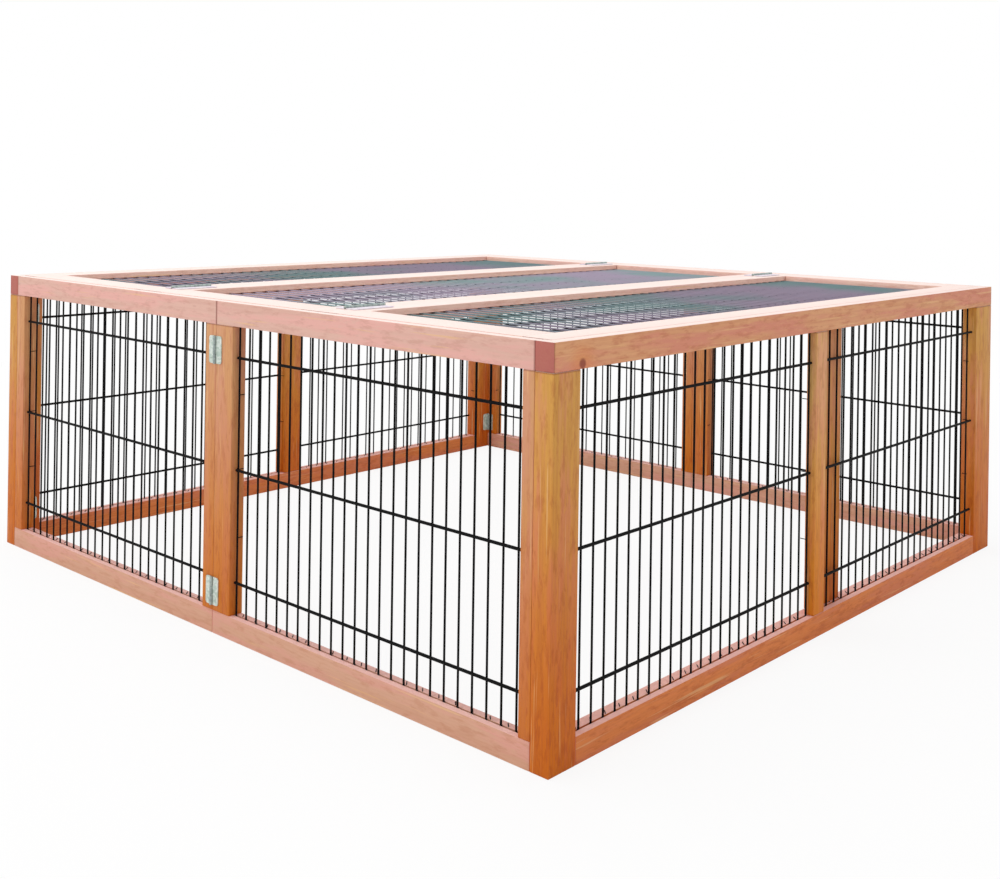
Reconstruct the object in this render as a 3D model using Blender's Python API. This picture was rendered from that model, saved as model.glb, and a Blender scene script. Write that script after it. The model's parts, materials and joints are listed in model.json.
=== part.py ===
"""A folding run for small animals: a square pen of framed wire meshes under a lift-off cover.

Units are metres and +Z is up. The origin is on the ground, under the middle of the run.
The front is at -Y. Two rigid side frames stand at -X and +X. The front and the back are each
a pair of panels, hinged to each other and to the side frames. They fold inwards at the middle
and draw the side frames together. The cover is three lids hinged edge to edge. It lies in
rebates round the top, and it is lifted off before the sides fold.
"""

from math import asin, cos, pi, sin

import bmesh
import bpy
from mathutils import Matrix, Vector

for leftover in list(bpy.data.objects):
    bpy.data.objects.remove(leftover, do_unlink=True)

# Overall size of the wooden frame
RUN_WIDTH = 1.200
RUN_DEPTH = 1.200
RUN_HEIGHT = 0.455

# Rails, posts and stiles
SIDE_THICKNESS = 0.026
PANEL_THICKNESS = 0.022
TOP_RAIL_HEIGHT = 0.032
BOTTOM_RAIL_HEIGHT = 0.031
FRONT_POST_WIDTH = 0.045
BACK_POST_WIDTH = 0.066
BEAD_WIDTH = 0.030
BEAD_DEPTH = 0.014
BEAD_CENTRE_Y = -0.017
LEFT_BATTEN_WIDTH = 0.040
LEFT_BATTEN_SHIFT = 0.009
RIGHT_BATTEN_WIDTH = 0.080
RIGHT_BATTEN_SHIFT = 0.046
LEFT_CORNER_STILE = 0.024
LEFT_SEAM_STILE = 0.024
RIGHT_CORNER_STILE = 0.0165
RIGHT_SEAM_STILE = 0.038
EDGE_EASE = 0.001

# Cover
COVER_THICKNESS = 0.020
MIDDLE_LID_WIDTH = 0.400
SEAM_STILE = 0.036
OUTER_STILE = 0.040
LID_RAIL = 0.053
LIP_THICKNESS = 0.005
LIP_LENGTH = 0.017
LIP_CLEARANCE = 0.004
SIDE_REBATE = 0.010
PANEL_REBATE = 0.009
LID_SIDE_CLEARANCE = 0.0015
LID_SEAM_GAP = 0.0006
REBATE_END_ROOM = 0.003

# Wire meshes: every second close wire of the real mesh is made here
MESH_SETBACK = 0.010
CLOSE_WIRE = 0.0024
LONG_WIRE = 0.0032
GROOVE_DEPTH = 0.007
WIRE_CLEARANCE = 0.0003
EDGE_WIRE_GAP = 0.002
PANEL_WIRE_COUNT = 12
LID_WIRE_COUNT = 15
LONG_WIRE_COUNT = 3
PANEL_LONG_MIDDLE = 0.228
PANEL_LONG_SPACING = 0.152
LID_LONG_SPACING = 0.076

# Butt hinges
LEAF_THICKNESS = 0.0012
KNUCKLE_RADIUS = 0.0022
PIN_RADIUS = 0.0012
PIN_CLEARANCE = 0.0003
PIN_INSET = 0.0006
SIDE_LEAF_WIDTH = 0.014
SIDE_HINGE_LENGTH = 0.038
UPPER_HINGE_DROP = 0.067
LOWER_HINGE_RISE = 0.058
COVER_LEAF_WIDTH = 0.020
COVER_HINGE_LENGTH = 0.070
COVER_HINGE_INSET = 0.093
KNUCKLE_SIDES = 8

# Seats and cutters
SEAT_GAP = 0.0003
CUT_MARGIN = 0.004

# Places that follow from the sizes above
HALF_X = RUN_WIDTH / 2
HALF_Y = RUN_DEPTH / 2
INNER_X = HALF_X - SIDE_THICKNESS
INNER_Y = HALF_Y - PANEL_THICKNESS
OPENING_LOW = BOTTOM_RAIL_HEIGHT
OPENING_HIGH = RUN_HEIGHT - TOP_RAIL_HEIGHT
AXIS_OFFSET = KNUCKLE_RADIUS + SEAT_GAP
CORNER_X = INNER_X - AXIS_OFFSET
CORNER_Y = INNER_Y - AXIS_OFFSET
SEAM_Y = HALF_Y + AXIS_OFFSET
LID_SEAM_X = MIDDLE_LID_WIDTH / 2
LID_END_Y = INNER_Y + PANEL_REBATE - LIP_CLEARANCE
LID_OUTER_X = INNER_X + SIDE_REBATE - LID_SIDE_CLEARANCE
COVER_BOTTOM = RUN_HEIGHT - COVER_THICKNESS
LID_AXIS_Z = RUN_HEIGHT + AXIS_OFFSET
LID_OPENING_Y = LID_END_Y - LID_RAIL
GROOVE_WIDTH = CLOSE_WIRE + 2 * WIRE_CLEARANCE
WIRE_REACH = GROOVE_DEPTH - WIRE_CLEARANCE

SIDES = {"left": -1, "right": 1}
ENDS = {"front": -1, "back": 1}
X = Vector((1, 0, 0))
Y = Vector((0, 1, 0))
Z = Vector((0, 0, 1))


def srgb(red, green, blue):
    """Linear colour of an 8-bit screen colour."""
    shares = [value / 255 for value in (red, green, blue)]
    return [s / 12.92 if s <= 0.04045 else ((s + 0.055) / 1.055) ** 2.4 for s in shares] + [1.0]


FINISHES = {
    "rail": (srgb(205, 148, 122), 0.65, 0.0),
    "post": (srgb(196, 130, 76), 0.65, 0.0),
    "lid": (srgb(232, 196, 176), 0.65, 0.0),
    "wire": (srgb(24, 24, 26), 0.45, 0.0),
    "zinc": (srgb(168, 176, 172), 0.35, 1.0),
}


def finish(piece, kind):
    """Give a piece its own material of one of the finishes."""
    colour, roughness, metallic = FINISHES[kind]
    material = bpy.data.materials.new(f"{piece.name}_{kind}")
    material.use_nodes = True
    shader = material.node_tree.nodes["Principled BSDF"]
    shader.inputs["Base Color"].default_value = colour
    shader.inputs["Roughness"].default_value = roughness
    shader.inputs["Metallic"].default_value = metallic
    material.diffuse_color = colour
    piece.material_slots[0].link = "OBJECT"
    piece.material_slots[0].material = material


def add_object(name, mesh, kind=None, body=None):
    """Put a mesh in the scene, on a body's empty when one is named."""
    piece = bpy.data.objects.new(name, mesh)
    bpy.context.collection.objects.link(piece)
    if kind:
        if not mesh.materials:
            mesh.materials.append(None)
        finish(piece, kind)
    if body:
        hang(piece, body)
    return piece


def mesh_from(name, shape):
    """Turn a bmesh into a mesh whose faces point out."""
    bmesh.ops.recalc_face_normals(shape, faces=shape.faces[:])
    mesh = bpy.data.meshes.new(name)
    shape.to_mesh(mesh)
    shape.free()
    return mesh


BODIES = {}


def add_body(name, pivot, parent=None):
    """An empty on a body's joint axis. Its pieces and the next bodies hang on it."""
    empty = bpy.data.objects.new(f"{name}_axis", None)
    empty.empty_display_size = 0.05
    bpy.context.collection.objects.link(empty)
    BODIES[name] = (empty, Vector(pivot))
    if parent:
        hang(empty, parent)
    empty.location = Vector(pivot)


def hang(piece, body):
    """Parent a piece to a body's empty and leave it where it is."""
    empty, pivot = BODIES[body]
    piece.parent = empty
    piece.matrix_parent_inverse = Matrix.Translation(-pivot)


def block(name, low, high, ease=0.0):
    """A box between two corners, with its edges eased by a small chamfer."""
    low, high = Vector(low), Vector(high)
    shape = bmesh.new()
    bmesh.ops.create_cube(shape, size=1.0)
    size = high - low
    bmesh.ops.scale(shape, vec=size, verts=shape.verts[:])
    bmesh.ops.translate(shape, vec=(low + high) / 2, verts=shape.verts[:])
    if ease:
        bmesh.ops.bevel(shape, geom=shape.edges[:], offset=ease, segments=1, affect="EDGES")
    return mesh_from(name, shape)


def board(name, low, high, kind, body):
    """A planed piece of wood with eased edges."""
    return add_object(name, block(name, low, high, EDGE_EASE), kind, body)


def combine(piece, mesh, operation):
    """Cut a shape out of a piece, or join a shape to it."""
    tool = add_object("tool", mesh)
    step = piece.modifiers.new("combine", "BOOLEAN")
    step.operation = operation
    step.solver = "EXACT"
    step.object = tool
    with bpy.context.temp_override(object=piece, active_object=piece):
        bpy.ops.object.modifier_apply(modifier=step.name)
    bpy.data.objects.remove(tool, do_unlink=True)


def carve(piece, low, high):
    """Cut a box out of a piece."""
    combine(piece, block("space", low, high), "DIFFERENCE")


def spread(first, last, count):
    """Evenly spaced places from first to last."""
    return [first + (last - first) * index / (count - 1) for index in range(count)]


def around(middle, spacing, count):
    """Evenly spaced places on both sides of a middle."""
    return [middle + spacing * (index - (count - 1) / 2) for index in range(count)]


def lattice(name, body, close_at, close_ends, long_at, place):
    """One welded mesh: close wires run from end to end, long wires cross them in the same plane.

    close_at and long_at are wire centres. place turns (along, across, depth) into a point.
    """
    along = [at + side * CLOSE_WIRE / 2 for at in close_at for side in (-1, 1)]
    across = [at + side * LONG_WIRE / 2 for at in long_at for side in (-1, 1)]
    across = [close_ends[0]] + across + [close_ends[1]]
    shape = bmesh.new()
    corners = {}

    def corner(column, row, layer):
        key = (column, row, layer)
        if key not in corners:
            depth = (layer - 0.5) * CLOSE_WIRE
            corners[key] = shape.verts.new(place(along[column], across[row], depth))
        return corners[key]

    def is_wire(column, row):
        inside = 0 <= column < len(along) - 1 and 0 <= row < len(across) - 1
        return inside and (column % 2 == 0 or row % 2 == 1)

    for column in range(len(along) - 1):
        for row in range(len(across) - 1):
            if not is_wire(column, row):
                continue
            ring = [(column, row), (column + 1, row), (column + 1, row + 1), (column, row + 1)]
            beyond = [(column, row - 1), (column + 1, row), (column, row + 1), (column - 1, row)]
            shape.faces.new([corner(*point, 1) for point in ring])
            shape.faces.new([corner(*point, 0) for point in reversed(ring)])
            for side, neighbour in enumerate(beyond):
                if not is_wire(*neighbour):
                    start, end = ring[side], ring[(side + 1) % 4]
                    edge = [corner(*start, 0), corner(*end, 0), corner(*end, 1), corner(*start, 1)]
                    shape.faces.new(edge)
    return add_object(name, mesh_from(name, shape), "wire", body)


def upright_mesh(name, body, opening, place):
    """The mesh of a wall: upright close wires in the rails' grooves, level long wires."""
    inset = EDGE_WIRE_GAP + CLOSE_WIRE / 2
    close_at = spread(opening[0] + inset, opening[1] - inset, PANEL_WIRE_COUNT)
    ends = (OPENING_LOW - WIRE_REACH, OPENING_HIGH + WIRE_REACH)
    long_at = around(PANEL_LONG_MIDDLE, PANEL_LONG_SPACING, LONG_WIRE_COUNT)
    lattice(name, body, close_at, ends, long_at, place)


def side_frame(side_name, body):
    """A rigid side frame of two bays. Depth is measured inwards from its outer face."""
    side = SIDES[side_name]
    front_edge = -HALF_Y + FRONT_POST_WIDTH
    back_edge = HALF_Y - BACK_POST_WIDTH
    bead = (BEAD_CENTRE_Y - BEAD_WIDTH / 2, BEAD_CENTRE_Y + BEAD_WIDTH / 2)
    batten_width = LEFT_BATTEN_WIDTH if side < 0 else RIGHT_BATTEN_WIDTH
    batten_middle = BEAD_CENTRE_Y + (LEFT_BATTEN_SHIFT if side < 0 else RIGHT_BATTEN_SHIFT)
    batten = (batten_middle - batten_width / 2, batten_middle + batten_width / 2)
    bays = {"front": (front_edge, bead[0]), "back": (bead[1], back_edge)}

    def span(depth_low, depth_high, y_low, y_high, z_low, z_high):
        edges = sorted(side * (HALF_X - depth) for depth in (depth_low, depth_high))
        return (edges[0], y_low, z_low), (edges[1], y_high, z_high)

    def piece(part, y_low, y_high, z_low, z_high, kind):
        corners = span(0, SIDE_THICKNESS, y_low, y_high, z_low, z_high)
        return board(f"{side_name}_{part}", *corners, kind, body)

    top = piece("top_rail", -HALF_Y, HALF_Y, OPENING_HIGH, RUN_HEIGHT, "rail")
    bottom = piece("bottom_rail", front_edge + SEAT_GAP, back_edge - SEAT_GAP,
                   0, BOTTOM_RAIL_HEIGHT, "rail")
    piece("front_post", -HALF_Y, front_edge, 0, OPENING_HIGH - SEAT_GAP, "post")
    piece("back_post", back_edge, HALF_Y, 0, OPENING_HIGH - SEAT_GAP, "post")
    stile = piece("centre_stile", bead[0], batten[1],
                  OPENING_LOW + SEAT_GAP, OPENING_HIGH - SEAT_GAP, "post")

    # The cover's side stiles lie in a rebate along the top rail
    rebate_y = LID_END_Y + REBATE_END_ROOM
    rebate = span(SIDE_THICKNESS - SIDE_REBATE, SIDE_THICKNESS + CUT_MARGIN,
                  -rebate_y, rebate_y, COVER_BOTTOM - SEAT_GAP, RUN_HEIGHT + CUT_MARGIN)
    carve(top, *rebate)

    # The stile is an outer bead in front of the meshes' edges and a wider batten behind them
    batten_face = MESH_SETBACK + CLOSE_WIRE / 2 + 3 * WIRE_CLEARANCE
    tall = (-CUT_MARGIN, RUN_HEIGHT)
    carve(stile, *span(-CUT_MARGIN, batten_face, bead[1], batten[1] + CUT_MARGIN, *tall))
    carve(stile, *span(BEAD_DEPTH, SIDE_THICKNESS + CUT_MARGIN,
                       bead[0] - CUT_MARGIN, batten[0], *tall))

    groove = (MESH_SETBACK - GROOVE_WIDTH / 2, MESH_SETBACK + GROOVE_WIDTH / 2)
    for bay_name, bay in bays.items():
        carve(top, *span(*groove, *bay, OPENING_HIGH - CUT_MARGIN, OPENING_HIGH + GROOVE_DEPTH))
        carve(bottom, *span(*groove, bay[0] + EDGE_EASE, bay[1] - EDGE_EASE,
                            OPENING_LOW - GROOVE_DEPTH, OPENING_LOW + CUT_MARGIN))
        upright_mesh(
            f"{side_name}_{bay_name}_mesh", body, bay,
            lambda along, across, depth: (side * (HALF_X - MESH_SETBACK - depth), along, across))


def folding_panel(end_name, side_name):
    """One panel of a folding pair: a frame with a mesh. Depth is measured inwards."""
    side, end = SIDES[side_name], ENDS[end_name]
    body = f"{end_name}_{side_name}"
    corner_stile = LEFT_CORNER_STILE if side < 0 else RIGHT_CORNER_STILE
    seam_stile = LEFT_SEAM_STILE if side < 0 else RIGHT_SEAM_STILE
    reach = (SEAT_GAP / 2, INNER_X - SEAT_GAP)
    opening = (seam_stile, reach[1] - corner_stile)

    def span(out_low, out_high, depth_low, depth_high, z_low, z_high):
        xs = sorted(side * out for out in (out_low, out_high))
        ys = sorted(end * (HALF_Y - depth) for depth in (depth_low, depth_high))
        return (xs[0], ys[0], z_low), (xs[1], ys[1], z_high)

    frame = board(f"{body}_frame", *span(*reach, 0, PANEL_THICKNESS, 0, RUN_HEIGHT), "rail", body)
    carve(frame, *span(*opening, -CUT_MARGIN, PANEL_THICKNESS + CUT_MARGIN,
                       OPENING_LOW, OPENING_HIGH))
    groove = (MESH_SETBACK - GROOVE_WIDTH / 2, MESH_SETBACK + GROOVE_WIDTH / 2)
    carve(frame, *span(*opening, *groove, OPENING_LOW - GROOVE_DEPTH, OPENING_HIGH + GROOVE_DEPTH))

    # The lids' lips lie in a shallow rebate along the inner top edge
    carve(frame, *span(-CUT_MARGIN, INNER_X + CUT_MARGIN,
                       PANEL_THICKNESS - PANEL_REBATE, PANEL_THICKNESS + CUT_MARGIN,
                       RUN_HEIGHT - LIP_THICKNESS - SEAT_GAP, RUN_HEIGHT + CUT_MARGIN))
    upright_mesh(
        f"{body}_mesh", body, opening,
        lambda along, across, depth: (side * along, end * (HALF_Y - MESH_SETBACK - depth), across))


def lid(name, body, x_low, x_high, low_stile, high_stile):
    """A lid: a frame with lipped ends and a mesh halfway down its thickness."""
    frame = board(f"{name}_frame", (x_low, -LID_END_Y, COVER_BOTTOM),
                  (x_high, LID_END_Y, RUN_HEIGHT), "lid", body)
    opening = (x_low + low_stile, x_high - high_stile)
    carve(frame, (opening[0], -LID_OPENING_Y, COVER_BOTTOM - CUT_MARGIN),
          (opening[1], LID_OPENING_Y, RUN_HEIGHT + CUT_MARGIN))
    middle = RUN_HEIGHT - COVER_THICKNESS / 2
    carve(frame, (opening[0] - GROOVE_DEPTH, -LID_OPENING_Y, middle - GROOVE_WIDTH / 2),
          (opening[1] + GROOVE_DEPTH, LID_OPENING_Y, middle + GROOVE_WIDTH / 2))
    for end in ENDS.values():
        ys = sorted((end * (LID_END_Y - LIP_LENGTH), end * (LID_END_Y + CUT_MARGIN)))
        carve(frame, (x_low - CUT_MARGIN, ys[0], COVER_BOTTOM - CUT_MARGIN),
              (x_high + CUT_MARGIN, ys[1], RUN_HEIGHT - LIP_THICKNESS))
    last_wire = LID_OPENING_Y - EDGE_WIRE_GAP - CLOSE_WIRE / 2
    close_at = spread(-last_wire, last_wire, LID_WIRE_COUNT)
    ends = (opening[0] - WIRE_REACH, opening[1] + WIRE_REACH)
    long_at = around((opening[0] + opening[1]) / 2, LID_LONG_SPACING, LONG_WIRE_COUNT)
    lattice(f"{name}_mesh", body, close_at, ends, long_at,
            lambda along, across, depth: (across, along, middle + depth))


def leaf_outline(width):
    """A leaf and its knuckle seen along the pin, which is at (0, 0). The wood is at +y."""
    inner_face = KNUCKLE_RADIUS - LEAF_THICKNESS
    start, stop = pi / 2, 2 * pi + asin(inner_face / KNUCKLE_RADIUS)
    turns = spread(start, stop, KNUCKLE_SIDES + 1)
    knuckle = [(KNUCKLE_RADIUS * cos(turn), KNUCKLE_RADIUS * sin(turn)) for turn in turns]
    return [(width, inner_face), (width, KNUCKLE_RADIUS)] + knuckle


def prism(name, outline, low, high):
    """An outline in the XY plane, extruded along Z."""
    shape = bmesh.new()
    face = shape.faces.new([shape.verts.new((x, y, low)) for x, y in outline])
    grown = bmesh.ops.extrude_face_region(shape, geom=[face])
    raised = [item for item in grown["geom"] if isinstance(item, bmesh.types.BMVert)]
    bmesh.ops.translate(shape, vec=(0, 0, high - low), verts=raised)
    return mesh_from(name, shape)


def round_bar(name, radius, length):
    """A many-sided bar round the pin's axis."""
    turns = [2 * pi * index / KNUCKLE_SIDES for index in range(KNUCKLE_SIDES)]
    outline = [(radius * cos(turn), radius * sin(turn)) for turn in turns]
    return prism(name, outline, -length / 2, length / 2)


def hinge_leaves(name, width, length):
    """Meshes of the pinned leaf, with two knuckles, and of the bored leaf, with the middle one."""
    middle = length / 6
    room = KNUCKLE_RADIUS + SEAT_GAP
    leaves = []
    for kind in ("pinned", "bored"):
        outline = leaf_outline(width)
        leaf = add_object("leaf", prism(f"{name}_{kind}", outline, -length / 2, length / 2))
        if kind == "pinned":
            gap = middle + SEAT_GAP / 2
            carve(leaf, (-2 * room, -2 * room, -gap), (room, 2 * room, gap))
            combine(leaf, round_bar("pin", PIN_RADIUS, length - 2 * PIN_INSET), "UNION")
        else:
            gap = middle - SEAT_GAP / 2
            carve(leaf, (-2 * room, -2 * room, gap), (room, 2 * room, length))
            carve(leaf, (-2 * room, -2 * room, -length), (room, 2 * room, -gap))
            combine(leaf, round_bar("bore", PIN_RADIUS + PIN_CLEARANCE, length), "DIFFERENCE")
        leaves.append(leaf.data)
        bpy.data.objects.remove(leaf, do_unlink=True)
    return leaves


def add_leaf(mesh, name, body, pin, outward, into_wood):
    """Lay a leaf on a face: outward runs from the pin across the face, into_wood points into it."""
    leaf = add_object(name, mesh, "zinc", body)
    turn = Matrix((outward, into_wood, outward.cross(into_wood))).transposed()
    leaf.matrix_basis = Matrix.Translation(pin) @ turn.to_4x4()


def wall_hinges():
    """Butt hinges in the corners and on the seams of the front and the back."""
    pinned, bored = hinge_leaves("wall_hinge", SIDE_LEAF_WIDTH, SIDE_HINGE_LENGTH)
    heights = {"upper": RUN_HEIGHT - UPPER_HINGE_DROP, "lower": LOWER_HINGE_RISE}
    for end_name, end in ENDS.items():
        for level, height in heights.items():
            for side_name, side in SIDES.items():
                pin = Vector((side * CORNER_X, end * CORNER_Y, height))
                name = f"{end_name}_{side_name}_corner_{level}_hinge"
                add_leaf(pinned, f"{name}_post_leaf", f"{side_name}_side", pin, -end * Y, side * X)
                add_leaf(bored, f"{name}_panel_leaf", f"{end_name}_{side_name}", pin,
                         -side * X, end * Y)
            pin = Vector((0, end * SEAM_Y, height))
            name = f"{end_name}_seam_{level}_hinge"
            add_leaf(pinned, f"{name}_left_leaf", f"{end_name}_left", pin, -X, -end * Y)
            add_leaf(bored, f"{name}_right_leaf", f"{end_name}_right", pin, X, -end * Y)


def cover_hinges():
    """Butt hinges on top of the cover's two seams."""
    pinned, bored = hinge_leaves("cover_hinge", COVER_LEAF_WIDTH, COVER_HINGE_LENGTH)
    for end_name, end in ENDS.items():
        for side_name, side in SIDES.items():
            pin = Vector((side * LID_SEAM_X, end * (HALF_Y - COVER_HINGE_INSET), LID_AXIS_Z))
            name = f"cover_{side_name}_{end_name}_hinge"
            add_leaf(pinned, f"{name}_middle_leaf", "cover", pin, -side * X, -Z)
            add_leaf(bored, f"{name}_lid_leaf", f"lid_{side_name}", pin, side * X, -Z)


def add_bodies():
    """Empties on the joints' axes, parent first."""
    add_body("left_side", (-INNER_X, 0, 0))
    for end_name, end in ENDS.items():
        add_body(f"{end_name}_left", (-CORNER_X, end * CORNER_Y, 0), "left_side")
        add_body(f"{end_name}_right", (0, end * SEAM_Y, 0), f"{end_name}_left")
    add_body("right_side", (CORNER_X, -CORNER_Y, 0), "front_right")
    add_body("cover", (0, 0, COVER_BOTTOM), "left_side")
    for side_name, side in SIDES.items():
        add_body(f"lid_{side_name}", (side * LID_SEAM_X, 0, LID_AXIS_Z), "cover")


def add_lids():
    """The middle lid and a lid on each side of it."""
    seam = LID_SEAM_X - LID_SEAM_GAP / 2
    outer_seam = LID_SEAM_X + LID_SEAM_GAP / 2
    lid("middle_lid", "cover", -seam, seam, SEAM_STILE, SEAM_STILE)
    lid("left_lid", "lid_left", -LID_OUTER_X, -outer_seam, OUTER_STILE, SEAM_STILE)
    lid("right_lid", "lid_right", outer_seam, LID_OUTER_X, SEAM_STILE, OUTER_STILE)


add_bodies()
for frame_side in SIDES:
    side_frame(frame_side, f"{frame_side}_side")
for panel_end in ENDS:
    for panel_side in SIDES:
        folding_panel(panel_end, panel_side)
add_lids()
wall_hinges()
cover_hinges()
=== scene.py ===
# %% [markdown]
# # A folding run for small animals
#
# The object is a low square pen of fir frames filled with black wire mesh, under a mesh cover of
# three lids. A plain model of it already exists, with one solid for each part and with its
# hinges. Here every part of that model is dressed: boards get eased edges, saw grooves and
# grain, meshes get round wires, and hinges get rolled knuckles and screws.
#
# The plain model is loaded first. All that is made later is placed by asking it where its parts
# are, so the dressed run folds and opens exactly as the plain one does.

# %% Load the plain model
import json
import random
from math import cos, pi, radians, sin

import bmesh
import bpy
from mathutils import Matrix, Vector

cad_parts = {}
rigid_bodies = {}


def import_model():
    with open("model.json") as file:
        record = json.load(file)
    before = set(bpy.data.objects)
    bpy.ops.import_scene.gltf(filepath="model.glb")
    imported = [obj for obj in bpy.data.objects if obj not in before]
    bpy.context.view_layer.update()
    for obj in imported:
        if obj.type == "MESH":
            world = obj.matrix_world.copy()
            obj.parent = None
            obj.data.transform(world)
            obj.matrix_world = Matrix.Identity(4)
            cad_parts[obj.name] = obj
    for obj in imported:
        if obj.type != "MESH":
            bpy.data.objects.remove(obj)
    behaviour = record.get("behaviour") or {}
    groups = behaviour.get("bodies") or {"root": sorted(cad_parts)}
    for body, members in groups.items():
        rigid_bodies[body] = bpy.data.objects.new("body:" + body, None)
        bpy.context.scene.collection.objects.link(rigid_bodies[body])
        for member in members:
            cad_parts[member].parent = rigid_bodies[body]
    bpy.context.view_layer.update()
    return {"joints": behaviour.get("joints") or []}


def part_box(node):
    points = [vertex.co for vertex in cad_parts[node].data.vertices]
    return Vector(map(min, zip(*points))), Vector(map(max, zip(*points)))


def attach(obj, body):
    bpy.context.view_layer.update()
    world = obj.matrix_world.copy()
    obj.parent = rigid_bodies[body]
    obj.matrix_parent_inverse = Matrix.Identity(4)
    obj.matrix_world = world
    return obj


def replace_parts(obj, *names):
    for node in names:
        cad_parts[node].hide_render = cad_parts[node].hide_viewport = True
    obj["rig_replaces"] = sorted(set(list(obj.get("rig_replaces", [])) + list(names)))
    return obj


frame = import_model()
bpy.ops.object.select_all(action="DESELECT")

# %% [markdown]
# ## The camera
#
# The picture was taken from a little above the cover, past the nearest corner, with the camera
# held level. A level camera keeps the posts upright, so the run is brought into view with the
# lens shift of an architect's camera instead of by tilting.

# %% Camera
LEAN, HEADING = -0.83, 42.92

bpy.ops.object.camera_add(location=(1.4149, -1.5882, 0.6139),
                          rotation=(radians(90), radians(LEAN), radians(HEADING)))
camera = bpy.context.object
camera.data.lens = 44.30
camera.data.shift_x = 0.0167
camera.data.shift_y = -0.2509
bpy.context.scene.camera = camera
print("camera height:", round(camera.location.z, 3), "lens:", round(camera.data.lens, 1))

# %% [markdown]
# ## Arithmetic for materials
#
# Wood needs a good deal of shader maths. Written node by node it would be unreadable, so a
# small class lets the output of a node be added and multiplied like a number. Each operation
# makes one Math node. Another class makes any other node in a single call.


# %% Shader arithmetic
class Signal:
    """An output of a node, usable in sums."""

    def __init__(self, recipe, socket):
        self.recipe = recipe
        self.socket = socket

    def __add__(self, other):
        return self.recipe.maths("ADD", self, other)

    def __sub__(self, other):
        return self.recipe.maths("SUBTRACT", self, other)

    def __rsub__(self, other):
        return self.recipe.maths("SUBTRACT", other, self)

    def __mul__(self, other):
        return self.recipe.maths("MULTIPLY", self, other)

    __radd__ = __add__
    __rmul__ = __mul__


class Recipe:
    """A material that is being put together."""

    def __init__(self, name):
        self.material = bpy.data.materials.new(name)
        self.material.use_nodes = True
        self.tree = self.material.node_tree
        self.shader = self.tree.nodes["Principled BSDF"]

    def node(self, kind, settings, sockets, out=0):
        """Add a node: settings first, then its sockets' values or links. Returns one output."""
        made = self.tree.nodes.new("ShaderNode" + kind)
        for key, value in settings.items():
            setattr(made, key, value)
        for key, value in sockets.items():
            self.feed(made.inputs[key], value)
        return Signal(self, made.outputs[out])

    def feed(self, socket, value):
        """Link a signal to a socket, or set its value."""
        if isinstance(value, Signal):
            self.tree.links.new(value.socket, socket)
        else:
            socket.default_value = value

    def maths(self, operation, first, second=0.0):
        """One Math node."""
        return self.node("Math", {"operation": operation}, {0: first, 1: second})

    def smooth(self, value, low, high):
        """0 below low, 1 above high and a soft step between. Low may be the larger one."""
        start, end = (low, high) if low < high else (high, low)
        results = (0.0, 1.0) if low < high else (1.0, 0.0)
        sockets = {"Value": value, "From Min": start, "From Max": end,
                   "To Min": results[0], "To Max": results[1]}
        return self.node("MapRange", {"interpolation_type": "SMOOTHSTEP"}, sockets)

    def blend(self, share, first, second):
        """Mix two colours. A Mix node keeps its sockets for colours at 6 and 7."""
        return self.node("Mix", {"data_type": "RGBA"}, {0: share, 6: first, 7: second}, out=2)

    def stretch(self, vector, scale, move=(0, 0, 0)):
        """Scale a vector along its three axes, then shift it."""
        sockets = {0: vector, 1: scale, 2: move}
        return self.node("VectorMath", {"operation": "MULTIPLY_ADD"}, sockets)

    def noise(self, vector, scale, detail=2.0, roughness=0.5):
        """Soft noise, about 0 to 1."""
        sockets = {"Vector": vector, "Scale": scale, "Detail": detail, "Roughness": roughness}
        return self.node("TexNoise", {}, sockets)

    def streaks(self, grain, along, across, move=(0, 0, 0), detail=2.0, roughness=0.5):
        """Noise drawn out along the grain. Both scales count features a metre."""
        drawn_out = self.stretch(grain, (along, across, across), move)
        return self.noise(drawn_out, 1.0, detail, roughness)

    def distance(self, first, second):
        """How far apart two places are."""
        return self.node("VectorMath", {"operation": "DISTANCE"}, {0: first, 1: second},
                         out="Value")

    def length(self, vector):
        """The length of a vector."""
        return self.node("VectorMath", {"operation": "LENGTH"}, {0: vector}, out="Value")

    def parts(self, vector):
        """The three numbers of a vector."""
        made = self.tree.nodes.new("ShaderNodeSeparateXYZ")
        self.feed(made.inputs[0], vector)
        return [Signal(self, output) for output in made.outputs]


def screen(red, green, blue):
    """A shader colour from the 8-bit numbers of a picture."""
    shares = [value / 255 for value in (red, green, blue)]
    return [s / 12.92 if s <= 0.04045 else ((s + 0.055) / 1.055) ** 2.4 for s in shares] + [1.0]


# %% [markdown]
# ## Floor, backdrop and light
#
# Goods like this are photographed on seamless white. The floor is a pale sheet which shows
# itself to the camera a little brighter than it is, and quite white further out, so that it
# joins the white background without a line and still takes the run's soft shadow. A large lamp
# overhead makes the top of the run the palest part, as in the picture, and a second one lights
# the front.

# %% Floor
PAPER_WHITE = 0.88

bpy.ops.mesh.primitive_plane_add(size=60, location=(0, 0, -0.0005))
floor = bpy.context.object
floor.name = "floor"
sheet = Recipe("floor_paper")
sheet.feed(sheet.shader.inputs["Base Color"], screen(250, 250, 250))
sheet.feed(sheet.shader.inputs["Roughness"], 0.9)
ray = sheet.node("LightPath", {}, {}, out="Is Camera Ray")
glow = sheet.node("Emission", {}, {"Color": (1, 1, 1, 1), "Strength": 1.0})
paper = Signal(sheet, sheet.shader.outputs[0])
away = sheet.length(sheet.node("TexCoord", {}, {}, out="Object"))
whiteness = PAPER_WHITE + sheet.smooth(away, 0.9, 2.6) * (1 - PAPER_WHITE)
shown = sheet.node("MixShader", {}, {0: ray * whiteness, 1: paper, 2: glow})
sheet.feed(sheet.tree.nodes["Material Output"].inputs["Surface"], shown)
floor.data.materials.append(sheet.material)
print("floor:", [round(side, 1) for side in floor.dimensions])

# %% Backdrop
ROOM_STRENGTH = 0.69

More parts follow.
